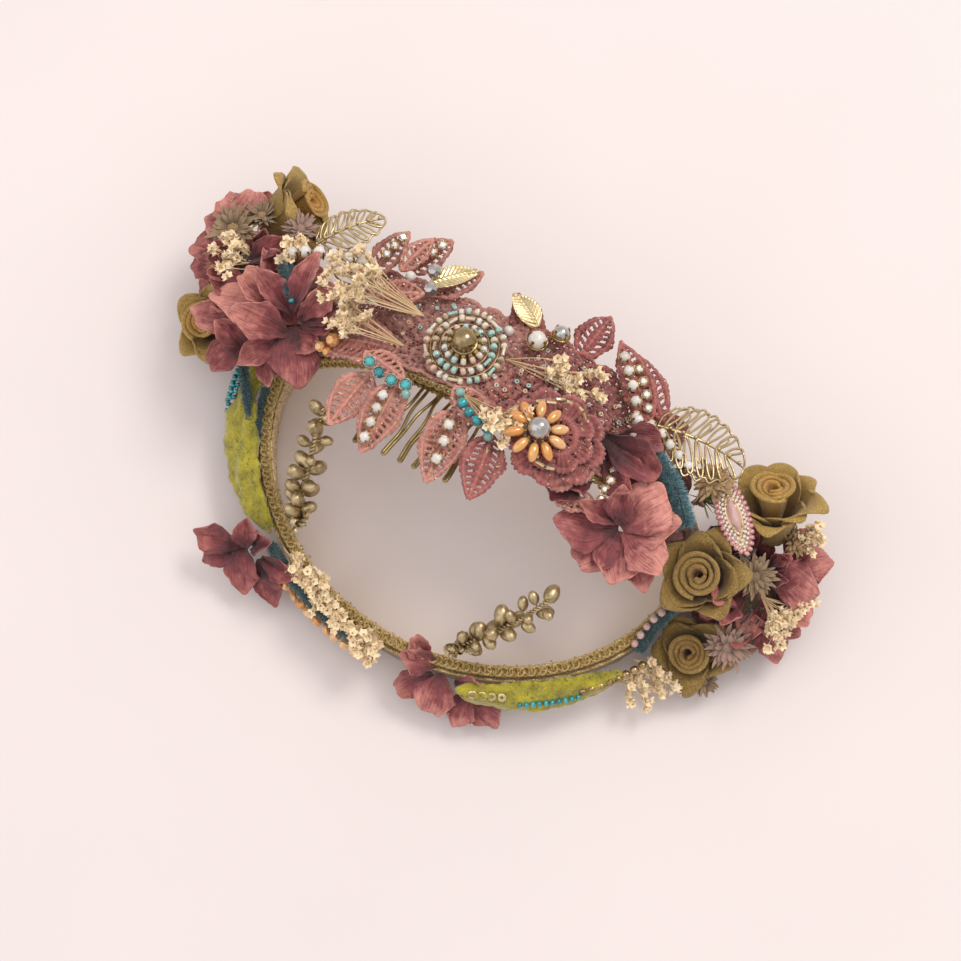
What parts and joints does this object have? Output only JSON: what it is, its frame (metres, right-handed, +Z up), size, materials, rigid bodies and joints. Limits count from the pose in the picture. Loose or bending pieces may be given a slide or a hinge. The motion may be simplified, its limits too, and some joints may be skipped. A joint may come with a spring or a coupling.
{
  "type": "flower crown",
  "caption": "Wire-framed flower crown with a raised front arch of beaded lace, clusters of dried flowers and rosebuds, a sewn-in comb and bendable berry sprigs.",
  "frame": {"origin": "middle of the bounding box, on the surface the band stands on", "axes": "+Z up; the arch is at the front, which faces -Y; the flat back of the band faces +Y; +X is the side of the larger flower cluster"},
  "size_m": [0.2092, 0.1184, 0.0641],
  "materials": {
    "gauze": "covered tape",
    "steel_wire": "bound wire",
    "glitter_ribbon": "glitter",
    "gold_braid": "metallic thread",
    "brass": "antique",
    "stamped_brass": "satin",
    "thread": "matt",
    "lace_salmon": "guipure lace",
    "lace_mauve": "guipure lace",
    "petal": "dried petal",
    "rose": "folded leather-like petal",
    "dried_spray": "dried flower",
    "dried_daisy": "dried flower",
    "felt": "felt",
    "turquoise": "opaque bead",
    "pearl": "pearl",
    "silver_pearl": "metallic pearl",
    "amber_bead": "lustre bead",
    "blush_stone": "cut stone in bead frame",
    "seed_beads": "lustre seed beads",
    "bound_stems": "bound stems"
  },
  "bodies": {
    "crown": {"amber_row": "amber_bead", "band_base": "gauze", "bead_medallion": "seed_beads", "bead_rosette": "amber_bead", "brass_leaf_left": "stamped_brass", "brass_leaf_right": "stamped_brass", "comb_stitch_a": "thread", "comb_stitch_b": "thread", "daisy_left": "dried_daisy", "daisy_right": "dried_daisy", "felt_leaf_back": "felt", "felt_leaf_left": "felt", "filigree_leaf_left": "brass", "filigree_leaf_right": "brass", "floret_back": "petal", "floret_back_left": "petal", "floret_left_inner": "petal", "floret_left_large": "petal", "floret_left_outer": "petal", "floret_right_front": "petal", "floret_right_large": "petal", "floret_right_outer": "petal", "frame_wire_lower": "steel_wire", "frame_wire_upper": "steel_wire", "gold_braid": "gold_braid", "lace_leaf_back_a": "lace_salmon", "lace_leaf_back_b": "lace_salmon", "lace_leaf_back_c": "lace_salmon", "lace_leaf_back_d": "lace_mauve", "lace_leaf_front_a": "lace_salmon", "lace_leaf_front_b": "lace_salmon", "lace_leaf_front_d": "lace_mauve", "lace_leaf_right_a": "lace_mauve", "lace_leaf_wide": "lace_salmon", "lace_panel_left": "lace_salmon", "lace_panel_right": "lace_mauve", "lace_round_flower": "lace_mauve", "lining_ribbon": "glitter_ribbon", "medallion_bead": "brass", "navette_brooch": "blush_stone", "pearl_pair": "pearl", "pearl_row_back": "pearl", "pearl_row_left": "pearl", "pearl_row_right": "pearl", "rose_left_front": "rose", "rose_left_side": "rose", "rose_right_back": "rose", "rose_right_front": "rose", "rose_right_middle": "rose", "rosette_pearl": "silver_pearl", "spray_back": "dried_spray", "spray_left": "dried_spray", "spray_right": "dried_spray", "stem_bundle_left": "bound_stems", "stem_bundle_right": "bound_stems", "turquoise_row_left": "turquoise", "turquoise_row_right": "turquoise"},
    "comb": {"comb": "brass"},
    "sprig_left": {"berry_sprig_left": "brass"},
    "sprig_right": {"berry_sprig_right": "brass"}
  },
  "joints": [
    {"name": "comb_hinge", "type": "hinge", "parent": "crown", "child": "comb", "pos_m": [0.01254, -0.01557, 0.04244], "axis": [-0.9471, -0.028, 0.3197], "range_deg": [-6, 28]},
    {"name": "sprig_left_bend", "type": "hinge", "parent": "crown", "child": "sprig_left", "pos_m": [0.034, 0.0338, 0.0195], "axis": [-0.9749, -0.2225, 0], "range_deg": [-12, 10]},
    {"name": "sprig_right_bend", "type": "hinge", "parent": "crown", "child": "sprig_right", "pos_m": [-0.0185, 0.042, 0.0195], "axis": [-0.7505, 0.6608, 0], "range_deg": [-12, 12]}
  ]
}
